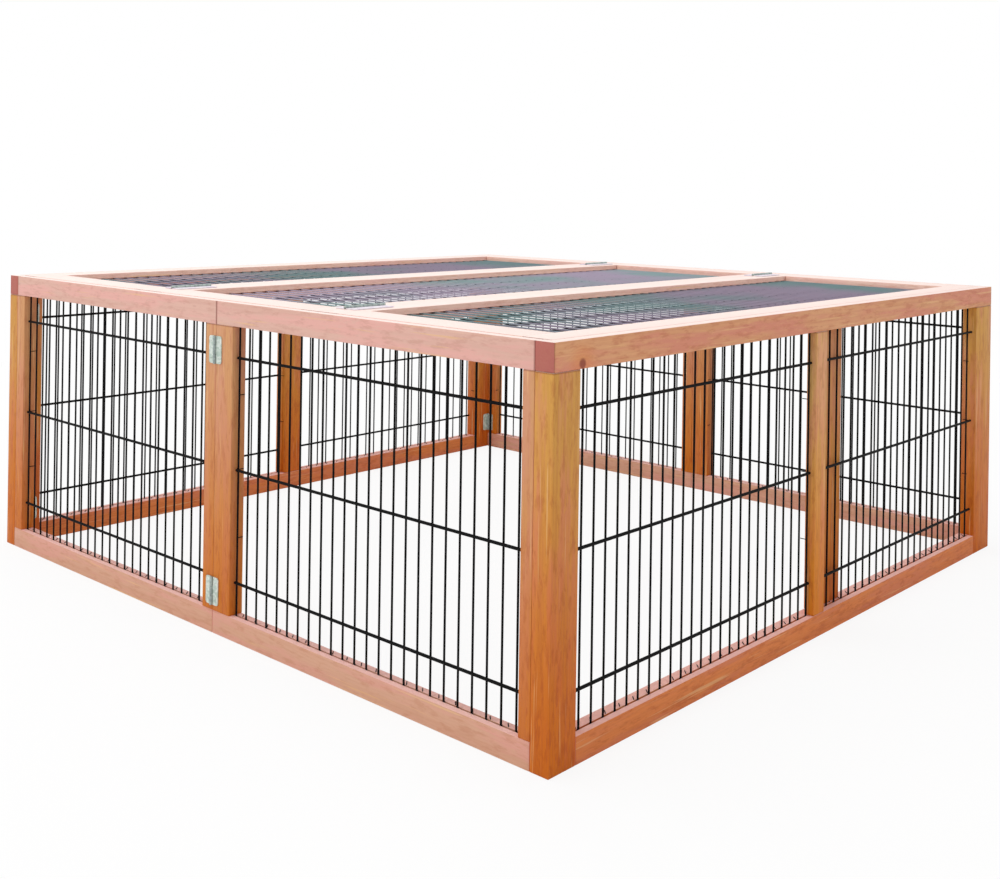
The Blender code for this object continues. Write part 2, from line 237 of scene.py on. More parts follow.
world = bpy.data.worlds.new("white_room")
bpy.context.scene.world = world
world.use_nodes = True
air = world.node_tree.nodes
path = air.new("ShaderNodeLightPath")
seen = air.new("ShaderNodeMath")
seen.operation = "MAXIMUM"
world.node_tree.links.new(path.outputs["Is Camera Ray"], seen.inputs[0])
world.node_tree.links.new(path.outputs["Is Glossy Ray"], seen.inputs[1])
strength = air.new("ShaderNodeMapRange")
strength.inputs["To Min"].default_value = ROOM_STRENGTH
strength.inputs["To Max"].default_value = 1.0
world.node_tree.links.new(seen.outputs[0], strength.inputs["Value"])
world.node_tree.links.new(strength.outputs[0], air["Background"].inputs["Strength"])
air["Background"].inputs["Color"].default_value = (1, 1, 1, 1)
bpy.context.scene.view_settings.view_transform = "Standard"
print("room:", world.name, "strength on the run:", ROOM_STRENGTH)

# %% Lamps
for lamp_name, place, aim, size, watts in (
        ("overhead", (-0.4, -0.6, 3.6), (0, 0, 0.4), 2.6, 47),
        ("front_fill", (-1.2, -3.9, 1.9), (0, 0, 0.2), 2.4, 19)):
    bpy.ops.object.light_add(type="AREA", location=place)
    lamp = bpy.context.object
    lamp.name = lamp_name
    lamp.data.size = size
    lamp.data.energy = watts
    lamp.rotation_euler = (Vector(aim) - Vector(place)).to_track_quat("-Z", "Y").to_euler()
print("lamps:", [item.name for item in bpy.data.lights])

# %% [markdown]
# ## Fir with its growth rings
#
# A board is a slice of a tree, so its grain is not a printed stripe: it is what the slice
# shows of rings round a core some way outside the board. The material is built like that.
# Every board carries its own coordinates, along and across the grain, in an attribute called
# grain. The distance to the core is cut into rings of a few millimetres. Noise bends them,
# and a rare knot pushes them aside. On a cut end the same rings show as arcs for free. A ring is
# pale where the tree grew in spring, and dark where it grew in summer.


# %% Knots and rings
KNOT_GRID = 3.0
RINGS_A_METRE = 235.0


def knots_in(fir, grain, place, known):
    """Masks of the knots' dark hearts and of the wood that bends round them."""
    by_chance = fir.node("TexVoronoi", {}, {"Vector": grain, "Scale": KNOT_GRID}, out="Distance")
    heart = fir.smooth(by_chance, 0.021, 0.012)
    around = fir.smooth(by_chance, 0.070, 0.010)
    for spot in known:
        away = fir.distance(place, spot)
        heart = fir.maths("MAXIMUM", heart, fir.smooth(away, 0.0075, 0.0035))
        around = fir.maths("MAXIMUM", around, fir.smooth(away, 0.030, 0.004))
    return heart, around


def late_wood(fir, grain, around_knot):
    """A mask of the dark half of each ring, which ends sharply where the next ring starts."""
    drift = fir.streaks(grain, 3.0, 26.0)
    sway = fir.streaks(grain, 0.9, 7.0, (3.1, 0.4, 7.7), 1.0)
    core = fir.length(fir.stretch(grain, (0.0, 1.0, 1.0)))
    bent = core + drift * 0.011 + sway * 0.030 + around_knot * 0.012
    ring = fir.maths("FRACT", bent * RINGS_A_METRE)
    return fir.smooth(ring, 0.35, 0.92) * fir.smooth(ring, 1.0, 0.94)


print("one ring is", round(1000 / RINGS_A_METRE, 1), "mm wide")

# %% [markdown]
# ## The stain
#
# Stained fir is never one colour. Fine fibres, longer streaks, rosy clouds, dark blotches, pale
# flecks and drops of resin lie over each other, and each is the same kind of noise, drawn out
# along the grain by its own amount. Every layer is mixed over the ones before it. What belongs
# to the place and not to the tree comes last: the end grain, upper faces painted paler as
# painted light from the lamp overhead, and painted shade in the lines where two boards meet. The
# stain is pinkish on the front panels, and orange on the posts and low on the sides.


# %% Layers of the stain, and colours of painted light and shade
RESIN = screen(240, 196, 138)
# painted light: the paler colour that faces looking up are blended to, as the lamp overhead
# lights them
PAINTED_TOP_LIGHT = screen(255, 204, 196)
# painted shade: the dark red of the shadow in the gaps where two boards meet
PAINTED_JOINT_SHADE = screen(120, 46, 40)
# painted highlight: the near white of the topmost faces under the lamp overhead
PAINTED_TOP_HIGHLIGHT = screen(255, 236, 228)


def tones(pale, dark, rosy):
    """Three shader colours: of the wood between the rings, of the rings, and of rosy clouds."""
    return screen(*pale), screen(*dark), screen(*rosy)


def stain(fir, grain, height, high, low, figure, late, fibre):
    """The colour of a long face, from the tones high and low on the run."""
    lowness = fir.smooth(height, 0.43, 0.02)
    pale, dark, rosy = (fir.blend(lowness, above, below) for above, below in zip(high, low))
    streak = fir.streaks(grain, 2.2, 95.0, (9.0, 2.0, 5.0))
    cloud = fir.streaks(grain, 5.0, 40.0, (1.0, 6.0, 2.0), 3.0, 0.6)
    blotch = fir.streaks(grain, 36.0, 150.0, (4.0, 8.0, 3.0), 3.0, 0.7)
    fleck = fir.streaks(grain, 60.0, 300.0, (2.0, 5.0, 9.0), 3.0, 0.7)
    resin = fir.streaks(grain, 7.0, 260.0, (5.0, 1.0, 3.0))
    fine = fir.smooth(fibre, 0.4, 0.7) * 0.24
    depth = late * 0.30 + fir.smooth(streak, 0.42, 0.66) * 0.40 + fine
    colour = fir.blend(fir.maths("MINIMUM", depth * figure, 1.0), pale, dark)
    colour = fir.blend(fir.smooth(cloud, 0.42, 0.60) * 0.80, colour, rosy)
    colour = fir.blend(fir.smooth(blotch, 0.48, 0.66) * 0.50, colour, dark)
    colour = fir.blend(fir.smooth(fleck, 0.52, 0.68) * 0.55, colour, pale)
    colour = fir.blend(fir.smooth(resin, 0.62, 0.72) * 0.50, colour, RESIN)
    return colour, blotch


def painted_light_and_shade(fir, colour, height, blotch):
    """Painted shade at the joints, and painted light that makes upper faces paler, most of all
    on the cover.
    """
    reach = fir.parts(fir.node("Attribute", {"attribute_name": "reach"}, {}, out="Vector"))
    facing_up = fir.parts(fir.node("TexCoord", {}, {}, out="Normal"))[2]
    # painted light: faces that look up are painted paler, as light from above would make them
    top_light_share = fir.smooth(facing_up, 0.5, 0.9) * 0.78
    colour = fir.blend(top_light_share, colour, PAINTED_TOP_LIGHT)
    # painted shade: the last millimetres at each board's end are darkened, more so high on the
    # run
    from_end = reach[1] - fir.maths("ABSOLUTE", reach[0])
    joint = fir.smooth(from_end, 0.0026, 0.0006) * (0.08 + fir.smooth(height, 0.05, 0.40) * 0.44)
    colour = fir.blend(joint, colour, PAINTED_JOINT_SHADE)
    # painted highlight: faces looking up at the top of the run are painted near white
    top_highlight_share = fir.smooth(facing_up, 0.25, 0.6) * fir.smooth(height, 0.40, 0.43)
    return fir.blend(top_highlight_share * (0.80 + blotch * 0.12), colour, PAINTED_TOP_HIGHLIGHT)


# %% Wood
SHEEN = 0.28
KNOT_DARK = screen(132, 52, 40)


def wood(name, high, low, end_colour, figure, knots=()):
    """A stained fir. Its three tones run from those high on the run to those low on it."""
    fir = Recipe(name)
    grain = fir.node("Attribute", {"attribute_name": "grain"}, {}, out="Vector")
    cut_end = fir.node("Attribute", {"attribute_name": "cut_end"}, {}, out="Fac")
    place = fir.node("TexCoord", {}, {}, out="Object")
    height = fir.parts(place)[2]
    knot, around_knot = knots_in(fir, grain, place, knots)
    late = late_wood(fir, grain, around_knot)
    fibre = fir.streaks(grain, 22.0, 800.0, (0, 0, 0), 3.0, 0.65)

    colour, blotch = stain(fir, grain, height, high, low, figure, late, fibre)
    colour = fir.blend(around_knot * 0.45, colour, low[0])
    colour = fir.blend(knot * 0.80, colour, KNOT_DARK)
    colour = fir.blend(cut_end * (0.62 + fibre * 0.3), colour, screen(*end_colour))
    # painted light on the upper faces and painted shade in the joints go over the wood last
    colour = painted_light_and_shade(fir, colour, height, blotch)

    fir.feed(fir.shader.inputs["Base Color"], colour)
    fir.feed(fir.shader.inputs["Specular IOR Level"], SHEEN)
    fir.feed(fir.shader.inputs["Roughness"], 0.50 + fibre * 0.16 + late * -0.06)
    relief = late * 0.5 + fibre * 0.6 + knot * 0.6
    bump = fir.node("Bump", {}, {"Height": relief, "Strength": 0.35, "Distance": 0.0006})
    fir.feed(fir.shader.inputs["Normal"], bump)
    return fir.material


# %% The six firs
BROWN_END = (190, 106, 80)
TOP_RAIL_KNOT = (0.600, -0.5520, 0.4285)

front_fir = wood("front_fir", tones((230, 186, 170), (208, 152, 136), (238, 178, 168)),
                 tones((222, 172, 144), (204, 142, 112), (228, 164, 148)),
                 (232, 140, 130), 0.50)
side_fir = wood("side_fir", tones((228, 168, 122), (196, 114, 78), (220, 138, 116)),
                tones((226, 134, 70), (188, 90, 40), (214, 124, 86)),
                (236, 140, 132), 0.60, [TOP_RAIL_KNOT])
stile_fir = wood("stile_fir", tones((218, 162, 112), (194, 126, 84), (216, 152, 122)),
                 tones((214, 122, 16), (180, 82, 8), (208, 116, 54)), BROWN_END, 0.60)
post_fir = wood("post_fir", tones((219, 163, 78), (183, 109, 54), (219, 144, 106)),
                tones((212, 112, 0), (174, 74, 0), (206, 100, 26)), BROWN_END, 0.60)
bead_fir = wood("bead_fir", tones((228, 182, 108), (194, 130, 74), (228, 162, 126)),
                tones((228, 136, 22), (190, 96, 16), (222, 122, 52)), BROWN_END, 0.60)
# painted light: the lids' fir is painted paler than the other firs, for the lamp overhead on the
# cover
lid_tones = tones((248, 210, 194), (224, 170, 150), (240, 190, 180))
lid_fir = wood("lid_fir", lid_tones, lid_tones, (206, 136, 120), 0.60)
print("woods:", [item.name for item in bpy.data.materials if item.name.endswith("_fir")])

# %% [markdown]
# ## Black wire and zinc plate
#
# The wire is steel dipped in black plastic, which is smooth but never quite even. Seen from
# low over the cover, the lids' wires hide the gaps between them, and they look pale: their
# coats are given pale lilac and green, a painted reflection of the bright room on their lit
# upper sides, the middle lid's most of all. The hinges are pressed from zinc plated sheet, a
# dull metal with cloudy patches, which is darker where it is rolled, and painted paler on the
# cover as painted light from the lamp overhead.


# %% Wire and zinc
def coat(name, first, second, patch, metallic, rough, gloss):
    """Plastic or zinc on steel: two colours in soft patches, and a fine unevenness."""
    skin = Recipe(name)
    spot = skin.node("TexCoord", {}, {}, out="Object")
    patches = skin.noise(spot, patch, 3.0, 0.6)
    scratches = skin.noise(skin.stretch(spot, (900.0, 900.0, 90.0)), 1.0, 2.0)
    colour = skin.blend(skin.smooth(patches, 0.40, 0.60), screen(*first), screen(*second))
    bump = skin.node("Bump", {}, {"Height": scratches, "Strength": 0.2, "Distance": 0.0002})
    skin.feed(skin.shader.inputs["Base Color"], colour)
    skin.feed(skin.shader.inputs["Metallic"], metallic)
    skin.feed(skin.shader.inputs["Specular IOR Level"], gloss)
    skin.feed(skin.shader.inputs["Roughness"], rough + patches * 0.14 + scratches * 0.08)
    skin.feed(skin.shader.inputs["Normal"], bump)
    return skin.material


black_wire = coat("black_wire", (3, 3, 4), (8, 8, 9), 260.0, 0.0, 0.48, 0.10)
# painted reflection: the lids' black wires are given pale lilac and green coats, the cover's
# paler
lid_wire_painted_lit = coat("lid_wire_painted_lit", (148, 136, 156), (114, 140, 142), 2.4, 0.0, 0.50, 0.30)
cover_wire_painted_lit = coat("cover_wire_painted_lit", (171, 159, 180), (140, 165, 167), 2.4, 0.0, 0.50, 0.30)
zinc_plate = coat("zinc_plate", (190, 208, 196), (226, 234, 226), 190.0, 0.45, 0.36, 0.5)
zinc_roll = coat("zinc_roll", (146, 158, 156), (178, 190, 184), 190.0, 0.50, 0.36, 0.5)
# painted light: the cover's hinge plates are zinc painted paler, as the lamp overhead lights
# them
cover_plate = coat("cover_plate", (226, 214, 230), (240, 236, 240), 190.0, 0.25, 0.40, 0.5)
metals = (black_wire, lid_wire_painted_lit, cover_wire_painted_lit, zinc_plate, zinc_roll, cover_plate)
print("metals:", [item.name for item in metals])

# %% [markdown]
# ## How a board is made
#
# Each board starts as a cube of the board's size. Its sharp edges are eased with a bevel, as
# sandpaper leaves them. A rebate or a saw groove is cut in three moves: the mesh is sliced along
# the cut's sides with bisect, the faces inside are picked by place, and they are extruded into
# the wood. Where a cut runs out through a side, the extrusion leaves pairs of faces back to
# back, which are deleted, and the edges that are left are merged.
#
# The grain attribute is written last: each point's place along and across its own board, moved
# by a chance amount, so that no two boards are cut from the same part of the tree. A second
# attribute, reach, says how far each point is from the board's middle and how far its ends are,
# because the last millimetres at each end get painted shade, for the shadow in the joints.

# %% Picking and cutting
TOUCH = 0.00002


def open_mesh():
    """The mesh that is being edited, for picking faces and edges."""
    return bmesh.from_edit_mesh(bpy.context.object.data)


def pick_faces(wanted):
    """Select exactly the faces that wanted(face) is true for. Returns how many."""
    mesh = open_mesh()
    bpy.ops.mesh.select_mode(type="FACE")
    bpy.ops.mesh.select_all(action="DESELECT")
    count = 0
    for face in mesh.faces:
        face.select_set(bool(wanted(face)))
        count += face.select
    bmesh.update_edit_mesh(bpy.context.object.data)
    return count


def cut_into(low, high, direction):
    """Sink the faces that look along direction, between low and high, to the far side."""
    direction = Vector(direction)
    axis = max(range(3), key=lambda index: abs(direction[index]))
    points = [vertex.co for vertex in open_mesh().verts]
    for index in range(3):
        least = min(point[index] for point in points)
        most = max(point[index] for point in points)
        for value in (low[index], high[index]):
            if least + TOUCH < value < most - TOUCH:
                bpy.ops.mesh.select_all(action="SELECT")
                normal = [float(index == other) for other in range(3)]
                place = [value * part for part in normal]
                bpy.ops.mesh.bisect(plane_co=place, plane_no=normal)

    def inside(face):
        centre = face.calc_center_median()
        return face.normal.dot(direction) > 0.99 and all(
            low[index] - TOUCH < centre[index] < high[index] + TOUCH for index in range(3))

    pick_faces(inside)
    chosen = [face for face in open_mesh().faces if face.select]
    start = chosen[0].calc_center_median()[axis]
    end = low[axis] if direction[axis] > 0 else high[axis]
    move = [0.0, 0.0, 0.0]
    move[axis] = end - start
    bpy.ops.mesh.extrude_region_move(TRANSFORM_OT_translate={"value": move})
    met = {}
    for face in open_mesh().faces:
        key = tuple(round(part, 5) for part in face.calc_center_median())
        met.setdefault(key, []).append(face.index)
    doubled = {index for group in met.values() if len(group) > 1 for index in group}
    if pick_faces(lambda face: face.index in doubled):
        bpy.ops.mesh.delete(type="FACE")
    bpy.ops.mesh.select_all(action="SELECT")
    bpy.ops.mesh.remove_doubles(threshold=TOUCH)


# %% Grain coordinates
chance = random.Random(41)
NEAREST_CORE, FURTHEST_CORE = 0.03, 0.075


def write_grain(piece, low, high, grain_axis):
    """Give a board its grain coordinates and its reach, and mark its cut ends."""
    mesh = piece.data
    middle = (low + high) / 2
    turn, far = chance.uniform(0, 2 * pi), chance.uniform(NEAREST_CORE, FURTHEST_CORE)
    shift = Vector((chance.uniform(-40, 40), far * cos(turn), far * sin(turn)))
    order = [grain_axis, (grain_axis + 1) % 3, (grain_axis + 2) % 3]
    half_length = (high[grain_axis] - low[grain_axis]) / 2
    grain = mesh.attributes.new("grain", "FLOAT_VECTOR", "POINT")
    for vertex in mesh.vertices:
        local = vertex.co - middle
        grain.data[vertex.index].vector = Vector([local[index] for index in order]) + shift
    reach = mesh.attributes.new("reach", "FLOAT_VECTOR", "POINT")
    for vertex in mesh.vertices:
        along = vertex.co[grain_axis] - middle[grain_axis]
        reach.data[vertex.index].vector = (along, half_length, 0)
    ends = mesh.attributes.new("cut_end", "FLOAT", "FACE")
    for face in mesh.polygons:
        ends.data[face.index].value = float(abs(face.normal[grain_axis]) > 0.9)


# %% A board
EASE = 0.0008


def edit_mode(on):
    """Go into edit mode, or leave it."""
    bpy.ops.object.mode_set(mode="EDIT" if on else "OBJECT")


def hand_over(piece, body, node=None):
    """Let a finished piece ride on its body, in place of a part of the plain model."""
    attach(piece, body)
    if node:
        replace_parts(piece, node)
    piece.select_set(False)


def board(name, low, high, grain_axis, material, slot, body, node, rebates=(), grooves=()):
    """One planed board that stands for a part of the plain model, or for a share of it."""
    low, high = Vector(low), Vector(high)
    bpy.ops.mesh.primitive_cube_add(size=1, location=(low + high) / 2, scale=high - low)
    piece = bpy.context.object
    piece.name = name
    bpy.ops.object.transform_apply(location=True, rotation=True, scale=True)
    edit_mode(True)
    for cut in rebates:
        cut_into(*cut)
    bpy.ops.mesh.select_mode(type="EDGE")
    bpy.ops.mesh.select_all(action="DESELECT")
    bpy.ops.mesh.edges_select_sharp(sharpness=radians(60))
    bpy.ops.mesh.bevel(offset=EASE, segments=2, affect="EDGES", clamp_overlap=True)
    for cut in grooves:
        cut_into(*cut)
    edit_mode(False)
    write_grain(piece, low, high, grain_axis)
    piece.data.materials.append(material)
    bpy.ops.object.shade_smooth_by_angle(angle=radians(35))
    hand_over(piece, body, node)


# %% [markdown]
# ## The two side frames
#
# The side frames are stiff. Each has a top rail that runs over the posts, a bottom rail between
# them, a front and a back post, and a centre stile. The stile is two pieces of wood: a bead on
# the outside, and a wider batten behind the meshes' edges. The rails have a saw groove for the
# wires, and the top rail has a rebate in which the cover lies.

# %% Sizes of the joinery
GROOVE = 0.0030
GROOVE_DEPTH = 0.0070
WIRE_IN_GROOVE = 0.0067
EDGE_GAP = 0.0020
MESH_SETBACK = 0.0100
SEAT_GAP = 0.0003
MARGIN = 0.01

SIDES = {"left": -1, "right": 1}
ENDS = {"front": -1, "back": 1}
LIDS = {"left_lid": "lid_left", "middle_lid": "cover", "right_lid": "lid_right"}


def opening_of(mesh_node, across):
    """What a wall's mesh spans inside its frame: (low, high) across, and (low, high) up."""
    low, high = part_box(mesh_node)
    return ((low[across] - EDGE_GAP, high[across] + EDGE_GAP),
            (low.z + WIRE_IN_GROOVE, high.z - WIRE_IN_GROOVE))


def between(axis, first, second, **others):
    """Low and high corner of a box, from (low, high) pairs named by axis."""
    pairs = {axis: (min(first, second), max(first, second)), **others}
    return [pairs[name][0] for name in "xyz"], [pairs[name][1] for name in "xyz"]


def faces_of(low, high, axis, way):
    """Where a frame's outer and inner faces are along an axis, on the side that way gives."""
    depths = abs(low[axis]), abs(high[axis])
    return way * max(depths), way * min(depths)


def slot_at(outer, way):
    """The two sides of the saw groove, measured in from an outer face."""
    return sorted(outer - way * (MESH_SETBACK + part * GROOVE / 2) for part in (-1, 1))


def count_pieces():
    """How many pieces stand for parts of the plain model so far."""
    return sum(1 for item in bpy.data.objects if item.get("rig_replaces"))


# %% Side frames
SIDE_REBATE = 0.010
REBATE_END_ROOM = 0.003
SILL_END_ROOM = 0.003
BEAD_DEPTH = 0.0140
BATTEN_DEPTH = 0.0142
BATTEN_STARTS = {"left": 0.004, "right": 0.021}

for side_name, side in SIDES.items():
    body = f"{side_name}_side"
    low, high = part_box(f"{side_name}_top_rail")
    outer, inner = faces_of(low, high, 0, side)
    spans = {}
    for bay in ENDS:
        spans[bay], (sill, head) = opening_of(f"{side_name}_{bay}_mesh", 1)
    slot_x = slot_at(outer, side)
    lid_low, lid_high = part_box(f"{side_name}_lid_frame")
    rebate = (*between("x", inner + side * SIDE_REBATE, inner - side * MARGIN,
                       y=(lid_low.y - REBATE_END_ROOM, lid_high.y + REBATE_END_ROOM),
                       z=(lid_low.z - SEAT_GAP, high.z)), (0, 0, 1))
    head_grooves = [((slot_x[0], span[0], head), (slot_x[1], span[1], head + GROOVE_DEPTH),
                     (0, 0, -1)) for span in spans.values()]
    board(f"{side_name}_side_top_rail", low, high, 1, side_fir, "rail_wood", body,
          f"{side_name}_top_rail", [rebate], head_grooves)

    low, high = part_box(f"{side_name}_bottom_rail")
    sill_grooves = [((slot_x[0], span[0] + SILL_END_ROOM, sill - GROOVE_DEPTH),
                     (slot_x[1], span[1] - SILL_END_ROOM, sill), (0, 0, 1))
                    for span in spans.values()]
    board(f"{side_name}_side_bottom_rail", low, high, 1, side_fir, "rail_wood", body,
          f"{side_name}_bottom_rail", [], sill_grooves)

    for end_name in ENDS:
        node = f"{side_name}_{end_name}_post"
        board(f"{node}_board", *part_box(node), 2, post_fir, "post_wood", body, node)

    node = f"{side_name}_centre_stile"
    low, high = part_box(node)
    bead = between("x", outer, outer - side * BEAD_DEPTH,
                   y=(low.y, spans["back"][0]), z=(low.z, high.z))
    board(f"{side_name}_bead", *bead, 2, bead_fir, "post_wood", body, node)
    batten = between("x", outer - side * BATTEN_DEPTH, inner,
                     y=(spans["front"][1] + BATTEN_STARTS[side_name], high.y),
                     z=(low.z, high.z))
    board(f"{side_name}_batten", *batten, 2, post_fir, "post_wood", body, node)
print("boards so far:", count_pieces())

# %% [markdown]
# ## The four folding panels
#
# Each panel has a rail above and below that run its whole width, and two stiles between them.
# A shallow rebate along the inner top edge takes the lips of the lids.

# %% Folding panels
PANEL_REBATE = 0.009
LIP = 0.005

for end_name, end in ENDS.items():
    for side_name, side in SIDES.items():
        body = f"{end_name}_{side_name}"
        node = f"{body}_frame"
        low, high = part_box(node)
        outer, inner = faces_of(low, high, 1, end)
        (left, right), (sill, head) = opening_of(f"{body}_mesh", 0)
        front, back = slot_at(outer, end)
        lid_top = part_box(f"{side_name}_lid_frame")[1].z
        rebate = (*between("y", inner + end * PANEL_REBATE, inner - end * MARGIN,
                           x=(low.x - MARGIN, high.x + MARGIN),
                           z=(lid_top - LIP - SEAT_GAP, lid_top)), (0, 0, 1))
        head_groove = ((left, front, head), (right, back, head + GROOVE_DEPTH), (0, 0, -1))
        sill_groove = ((left, front, sill - GROOVE_DEPTH), (right, back, sill), (0, 0, 1))
        board(f"{body}_top_rail", (low.x, low.y, head), high, 0, front_fir, "rail_wood", body,
              node, [rebate], [head_groove])
        board(f"{body}_bottom_rail", low, (high.x, high.y, sill), 0, front_fir, "rail_wood",
              body, node, [], [sill_groove])
        board(f"{body}_left_stile", (low.x, low.y, sill), (left, high.y, head), 2, stile_fir,
              "rail_wood", body, node)
        board(f"{body}_right_stile", (right, low.y, sill), (high.x, high.y, head), 2, stile_fir,
              "rail_wood", body, node)
print("boards so far:", count_pieces())

# %% [markdown]
# ## The three lids
#
# A lid has two long stiles from front to back, and a short rail at each end. Their ends are
# cut back underneath, so that only a thin lip reaches over the panels. The wires of its mesh
# enter a groove along the inner face of each stile.

# %% Lids
LIP_LENGTH = 0.017
LID_RAIL = 0.053

for lid_name, body in LIDS.items():
    node = f"{lid_name}_frame"
    low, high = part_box(node)
    wires_low, wires_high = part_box(f"{lid_name}_mesh")
    left, right = wires_low.x + WIRE_IN_GROOVE, wires_high.x - WIRE_IN_GROOVE
    wire_z = (wires_low.z + wires_high.z) / 2
    front, back = low.y + LID_RAIL, high.y - LID_RAIL
    lips = [((low.x - MARGIN, low.y - MARGIN, low.z),
             (high.x + MARGIN, low.y + LIP_LENGTH, high.z - LIP), (0, 0, -1)),
            ((low.x - MARGIN, high.y - LIP_LENGTH, low.z),
             (high.x + MARGIN, high.y + MARGIN, high.z - LIP), (0, 0, -1))]
    under, over = wire_z - GROOVE / 2, wire_z + GROOVE / 2
    left_groove = ((left - GROOVE_DEPTH, front, under), (left, back, over), (1, 0, 0))
    right_groove = ((right, front, under), (right + GROOVE_DEPTH, back, over), (-1, 0, 0))
    board(f"{lid_name}_left_stile", low, (left, high.y, high.z), 1, lid_fir, "lid_wood", body,
          node, lips, [left_groove])
    board(f"{lid_name}_right_stile", (right, low.y, low.z), high, 1, lid_fir, "lid_wood", body,
          node, lips, [right_groove])
    board(f"{lid_name}_front_rail", (left, low.y, low.z), (right, front, high.z), 0, lid_fir,
          "lid_wood", body, node, lips[:1])
    board(f"{lid_name}_back_rail", (left, back, low.z), (right, high.y, high.z), 0, lid_fir,
          "lid_wood", body, node, lips[1:])
print("boards:", count_pieces())

# %% [markdown]
# ## Wire meshes
#
# The mesh is made of thin wires close together, spot welded to a few thicker ones that cross
# outside them. One wire is a cylinder with bevelled rims, and an Array modifier repeats it
# across the opening. All sizes of wires here are radii.

# %% Wire helpers
CLOSE_WIRE = 0.00135
LONG_WIRE = 0.00195
LONG_WIRES = 3
WELDED = 0.75


def in_a_row(piece, step, count):
    """Repeat the active piece, each copy a step further."""
    repeat = piece.modifiers.new("repeat", "ARRAY")
    repeat.use_relative_offset = False
    repeat.use_constant_offset = True
    repeat.constant_offset_displace = step
    repeat.count = count
    bpy.ops.object.modifier_apply(modifier=repeat.name)


def join_up(pieces):
    """Join pieces into the first of them."""
    for piece in pieces:
        piece.select_set(True)
    bpy.context.view_layer.objects.active = pieces[0]
    bpy.ops.object.join()
    return pieces[0]


def wire_row(name, start, end, radius, step, count):
    """Equal parallel wires: the first from start to end, the others each a step further."""
    start, end = Vector(start), Vector(end)
    run = end - start
    turn = run.to_track_quat("Z", "Y").to_euler()
    bpy.ops.mesh.primitive_cylinder_add(vertices=10, radius=radius, depth=run.length,
                                        location=(start + end) / 2, rotation=turn)
    piece = bpy.context.object
    piece.name = name
    bpy.ops.object.transform_apply(location=True, rotation=True, scale=True)
    edit_mode(True)
    pick_faces(lambda face: len(face.verts) == 10)
    bpy.ops.mesh.bevel(offset=radius * 0.4, segments=1, affect="EDGES")
    edit_mode(False)
    in_a_row(piece, step, count)
    return piece


def wire_mesh(name, node, body, close, long, close_material):
    """Join rows of close and of long wires into one mesh panel."""
    rows = [wire_row(f"{name}_{index}", *row) for index, row in enumerate((close, long))]
    for row, material in zip(rows, (close_material, black_wire)):
        row.data.materials.append(material)
    piece = join_up(rows)
    piece.name = name
    bpy.ops.object.shade_smooth_by_angle(angle=radians(40))
    hand_over(piece, body, node)


# %% Wall meshes
UPRIGHTS = 24
LOWEST_LONG = 0.076
LONG_SPACING = 0.152
SIDE_ROOMS = {"front": 0.0136, "back": 0.0106}
PANEL_ROOMS = {"left": (0.0, 0.0188), "right": (0.0075, 0.0)}


def wall_mesh(name, node, body, across, outward, corner_room, seam_room=0.0):
    """The mesh of a wall: uprights in the rails' grooves, and level wires outside them."""
    low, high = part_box(node)
    middle = (low + high) / 2
    along = Vector([float(index == across) for index in range(3)])
    first, last = low[across] + CLOSE_WIRE, high[across] - CLOSE_WIRE
    if middle[across] > 0:
        first, last = first + seam_room, last - corner_room
    else:
        first, last = first + corner_room, last - seam_room
    foot = middle.copy()
    foot[across], foot.z = first, low.z
    top = foot.copy()
    top.z = high.z
    close = (foot, top, CLOSE_WIRE, along * (last - first) / (UPRIGHTS - 1), UPRIGHTS)
    start = middle + Vector(outward) * (CLOSE_WIRE + LONG_WIRE) * WELDED
    start.z = LOWEST_LONG
    start[across] = low[across]
    end = start.copy()
    end[across] = high[across]
    long = (start, end, LONG_WIRE, (0, 0, LONG_SPACING), LONG_WIRES)
    wire_mesh(name, node, body, close, long, black_wire)


for side_name, side in SIDES.items():
    for bay in ENDS:
        wall_mesh(f"{side_name}_{bay}_wires", f"{side_name}_{bay}_mesh", f"{side_name}_side",
                  1, (side, 0, 0), SIDE_ROOMS[bay])
for end_name, end in ENDS.items():
    for side_name in SIDES:
        wall_mesh(f"{end_name}_{side_name}_wires", f"{end_name}_{side_name}_mesh",
                  f"{end_name}_{side_name}", 0, (0, end, 0), *PANEL_ROOMS[side_name])
print("pieces so far:", count_pieces())

# %% Lid meshes
LID_CLOSE_WIRE = 0.0012
LID_WIRES = 47
LID_LONG_SPACING = 0.076

for lid_name, body in LIDS.items():
    low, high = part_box(f"{lid_name}_mesh")
    middle = (low + high) / 2
    first, last = low.y + LID_CLOSE_WIRE, high.y - LID_CLOSE_WIRE
    close = ((low.x, first, middle.z), (high.x, first, middle.z), LID_CLOSE_WIRE,
             (0, (last - first) / (LID_WIRES - 1), 0), LID_WIRES)
    long_x = middle.x - LID_LONG_SPACING
    long_z = middle.z - (LID_CLOSE_WIRE + LONG_WIRE) * WELDED
    long = ((long_x, low.y, long_z), (long_x, high.y, long_z), LONG_WIRE,
            (LID_LONG_SPACING, 0, 0), LONG_WIRES)
    # the lids' wires get the painted reflection colours, the middle lid's paler still
    wire_mesh(f"{lid_name}_wires", f"{lid_name}_mesh", body, close, long,
              cover_wire_painted_lit if body == "cover" else lid_wire_painted_lit)
print("pieces so far:", count_pieces())

# %% [markdown]
# ## Staples
#
# Small staples hold each wall's mesh: a row of them behind the groove of the bottom rail, where
# they lie aslant, and three on each upright next to the mesh. A staple starts as a thin
# cylinder that lies along X, and its ends are bent down into the wood. The row is an Array of
# it, as the wires are.

# %% Staples
STAPLE_LENGTH = 0.0096
STAPLE_WIRE = 0.0006
STAPLE_BEND = 0.0040
STAPLE_LEG = 0.0014
STAPLE_SPACING = 0.0267
STAPLE_HEIGHTS = (0.135, 0.228, 0.329)
FIRST_STAPLE = 0.013
BARE_ENDS = 0.020
BEHIND_GROOVE = 0.0022


